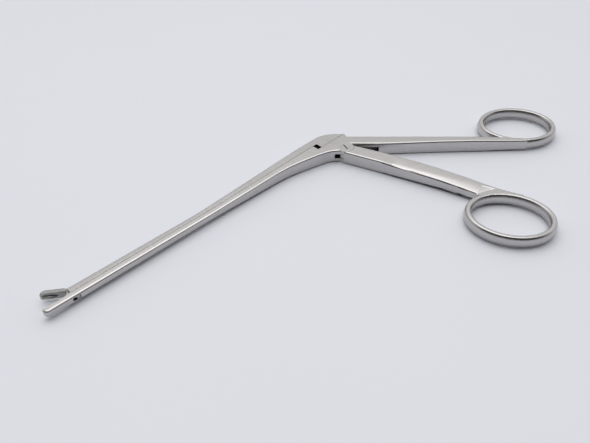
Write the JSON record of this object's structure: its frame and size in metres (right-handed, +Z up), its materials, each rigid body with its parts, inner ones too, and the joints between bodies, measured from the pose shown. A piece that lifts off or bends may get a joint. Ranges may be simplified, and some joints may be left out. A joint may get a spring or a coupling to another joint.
{
  "type": "microlumbar forceps",
  "caption": "Ring-handled microlumbar forceps with a bent body, a long sliding shaft and a hinged cup jaw, shown open and lying on its side.",
  "frame": {"origin": "on the axis of the handle pivot screw, at the level of the side face the forceps lies on", "axes": "+X along the rear handle towards its finger ring, +Z up from the side face it lies on; the shaft leaves the pivot towards -X and -Y"},
  "size_m": [0.206, 0.1295, 0.006],
  "materials": {
    "fixed_member": "satin, finely brushed",
    "front_handle": "satin, finely brushed",
    "slide": "satin, finely brushed",
    "upper_jaw": "satin, finely brushed",
    "handle_pivot_screw": "satin, turned",
    "jaw_pivot_pin": "ground",
    "jaw_drive_pin": "ground",
    "slide_drive_pin": "ground"
  },
  "bodies": {
    "fixed_member": {"fixed_member": "fixed_member", "handle_pivot_screw": "handle_pivot_screw", "jaw_pivot_pin": "jaw_pivot_pin"},
    "front_handle": {"front_handle": "front_handle"},
    "slide": {"slide": "slide", "slide_drive_pin": "slide_drive_pin"},
    "upper_jaw": {"upper_jaw": "upper_jaw", "jaw_drive_pin": "jaw_drive_pin"}
  },
  "joints": [
    {"name": "handle_pivot", "type": "hinge", "parent": "fixed_member", "child": "front_handle", "pos_m": [0, 0, 0.003], "axis": [0, 0, 1], "range_deg": [0, 12.3]},
    {"name": "slide_travel", "type": "slide", "parent": "fixed_member", "child": "slide", "axis": [-0.6972, -0.7169, 0], "range_m": [0, 0.00201]},
    {"name": "jaw_pivot", "type": "hinge", "parent": "fixed_member", "child": "upper_jaw", "pos_m": [-0.09611, -0.08592, 0.003], "axis": [0, 0, 1], "range_deg": [0, 36.1]}
  ],
  "couplings": [
    {"joint": "slide_travel", "follows": "handle_pivot", "m_per_rad": 0.009336},
    {"joint": "jaw_pivot", "follows": "handle_pivot", "ratio": 2.9204}
  ]
}
